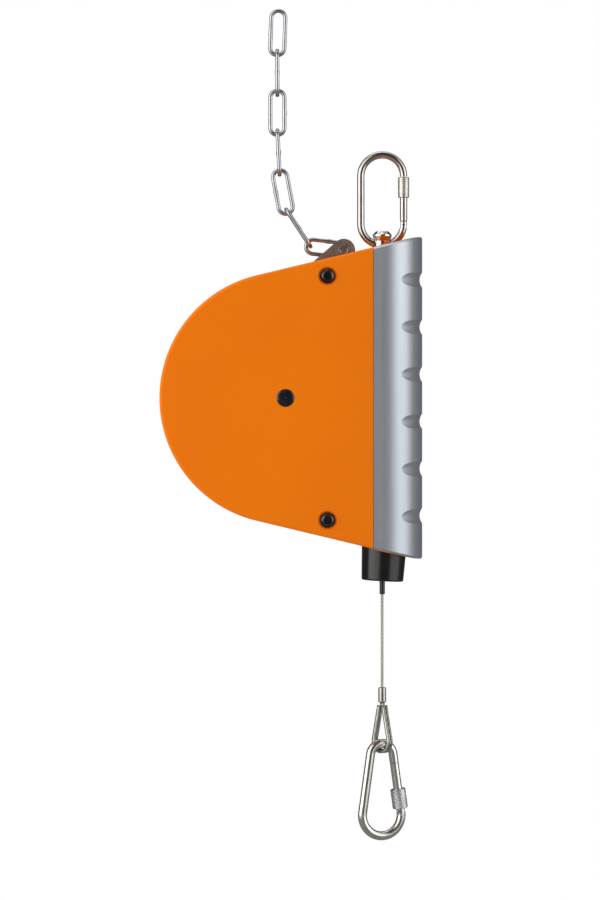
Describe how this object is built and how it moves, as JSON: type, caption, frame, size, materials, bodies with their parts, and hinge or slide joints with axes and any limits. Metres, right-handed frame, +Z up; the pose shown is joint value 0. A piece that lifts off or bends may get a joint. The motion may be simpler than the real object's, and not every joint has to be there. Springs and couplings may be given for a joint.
{
  "type": "tool balancer",
  "caption": "Spring tool balancer: orange drum housing with a grooved aluminium nose, swivel eye and screw link, safety chain, and a steel rope with thimble and screw-lock snap hook.",
  "frame": {"origin": "inner crown of the suspension link, where the balancer hangs from", "axes": "+Z up, +X from the drum to the aluminium nose, +Y through the flat body towards its rear shell"},
  "size_m": [0.1778, 0.0725, 0.5654],
  "materials": {
    "orange": "satin",
    "anodised": "satin",
    "zinc": "polished",
    "stainless": "polished",
    "dark_steel": "satin",
    "black": "satin",
    "rope_steel": "satin",
    "cast": "cast",
    "bronze": "satin",
    "spring_steel": "satin"
  },
  "bodies": {
    "suspension": {"suspension_link": "stainless", "link_gate_pin": "stainless"},
    "link_gate": {"link_gate": "stainless"},
    "link_sleeve": {"link_sleeve": "stainless"},
    "bolt": {"swivel_bolt": "zinc", "thrust_washer": "dark_steel", "swivel_nut": "dark_steel", "nut_pin": "dark_steel"},
    "housing": {"front_shell": "orange", "rear_shell": "orange", "nose_profile": "anodised", "top_end_cap": "orange", "bottom_end_cap": "orange", "swivel_block": "dark_steel", "housing_screws": "zinc", "housing_nuts": "zinc", "lug_plate_front": "dark_steel", "lug_plate_rear": "dark_steel", "lug_pin": "zinc", "lug_spacers": "dark_steel", "drum_axle": "zinc", "axle_rings": "dark_steel", "spring_arbor": "dark_steel", "arbor_key": "dark_steel", "inner_rope": "rope_steel", "rope_nozzle": "black", "nozzle_nut": "black"},
    "drum": {"rope_drum": "cast", "drum_bushes": "bronze", "spring_cover": "cast", "cover_screws": "zinc", "power_spring": "spring_steel", "rope_winding": "rope_steel"},
    "load_line": {"free_rope": "rope_steel", "rope_stop": "black", "ferrule": "zinc", "rope_eye": "rope_steel", "thimble": "zinc"},
    "hook": {"hook_frame": "zinc", "hook_gate_pin": "zinc"},
    "hook_gate": {"hook_gate": "zinc"},
    "hook_sleeve": {"hook_sleeve": "zinc"},
    "chain_1": {"chain_link_1": "zinc"},
    "chain_2": {"chain_link_2": "zinc"},
    "chain_3": {"chain_link_3": "zinc"},
    "chain_4": {"chain_link_4": "zinc"},
    "chain_5": {"chain_link_5": "zinc"},
    "chain_6": {"chain_link_6": "zinc"},
    "chain_7": {"chain_link_7": "zinc"}
  },
  "joints": [
    {"name": "link_gate_hinge", "type": "hinge", "parent": "suspension", "child": "link_gate", "pos_m": [0.01455, 0, -0.04505], "axis": [0, -1, 0], "range_deg": [0, 30], "stiffness_Nm_per_rad": 0.02, "springref_deg": -17.19},
    {"name": "link_sleeve_travel", "type": "slide", "parent": "link_gate", "child": "link_sleeve", "axis": [0, 0, -1], "range_m": [0, 0.012]},
    {"name": "link_swing", "type": "hinge", "parent": "suspension", "child": "bolt", "pos_m": [0, 0, -0.059], "axis": [1, 0, 0], "range_deg": [-60, 60]},
    {"name": "swivel", "type": "hinge", "parent": "bolt", "child": "housing", "pos_m": [0, 0, -0.084], "axis": [0, 0, 1], "continuous": true},
    {"name": "drum_spin", "type": "hinge", "parent": "housing", "child": "drum", "pos_m": [-0.0656, 0, -0.1627], "axis": [0, 1, 0], "range_deg": [0, 1746.82]},
    {"name": "rope_travel", "type": "slide", "parent": "housing", "child": "load_line", "axis": [0, 0, -1], "range_m": [0, 2], "stiffness_N_per_m": 3, "springref_m": -6.5, "deforming": ["free_rope"]},
    {"name": "hook_swing", "type": "hinge", "parent": "load_line", "child": "hook", "pos_m": [-0.00028, -0.0001, -0.40584], "axis": [-0.342, 0.9397, 0], "range_deg": [-25, 25]},
    {"name": "hook_gate_hinge", "type": "hinge", "parent": "hook", "child": "hook_gate", "pos_m": [0.01305, 0.00475, -0.4464], "axis": [0.342, -0.9397, 0], "range_deg": [0, 22.5], "stiffness_Nm_per_rad": 0.02, "springref_deg": -17.19},
    {"name": "hook_sleeve_travel", "type": "slide", "parent": "hook_gate", "child": "hook_sleeve", "axis": [0.1349, 0.0491, -0.9896], "range_m": [-0.0175, 0]},
    {"name": "chain_pivot_1", "type": "hinge", "parent": "housing", "child": "chain_1", "pos_m": [-0.0261, 0, -0.06231], "axis": [0, 1, 0], "range_deg": [-4, 14]},
    {"name": "chain_pivot_2", "type": "hinge", "parent": "chain_1", "child": "chain_2", "pos_m": [-0.04876, 0, -0.05976], "axis": [0, 1, 0], "range_deg": [-24, 12]},
    {"name": "chain_pivot_3", "type": "hinge", "parent": "chain_2", "child": "chain_3", "pos_m": [-0.06528, 0, -0.03461], "axis": [0, 1, 0], "range_deg": [-24, 12]},
    {"name": "chain_pivot_4", "type": "hinge", "parent": "chain_3", "child": "chain_4", "pos_m": [-0.06976, 0, -0.01093], "axis": [0, 1, 0], "range_deg": [-24, 12]},
    {"name": "chain_pivot_5", "type": "hinge", "parent": "chain_4", "child": "chain_5", "pos_m": [-0.07128, 0, 0.01914], "axis": [0, 1, 0], "range_deg": [-24, 12]},
    {"name": "chain_pivot_6", "type": "hinge", "parent": "chain_5", "child": "chain_6", "pos_m": [-0.07128, 0, 0.04324], "axis": [0, 1, 0], "range_deg": [-24, 12]},
    {"name": "chain_pivot_7", "type": "hinge", "parent": "chain_6", "child": "chain_7", "pos_m": [-0.07139, 0, 0.07334], "axis": [0, 1, 0], "range_deg": [-24, 12]}
  ],
  "couplings": [
    {"joint": "rope_travel", "follows": "drum_spin", "m_per_rad": 0.0656}
  ]
}
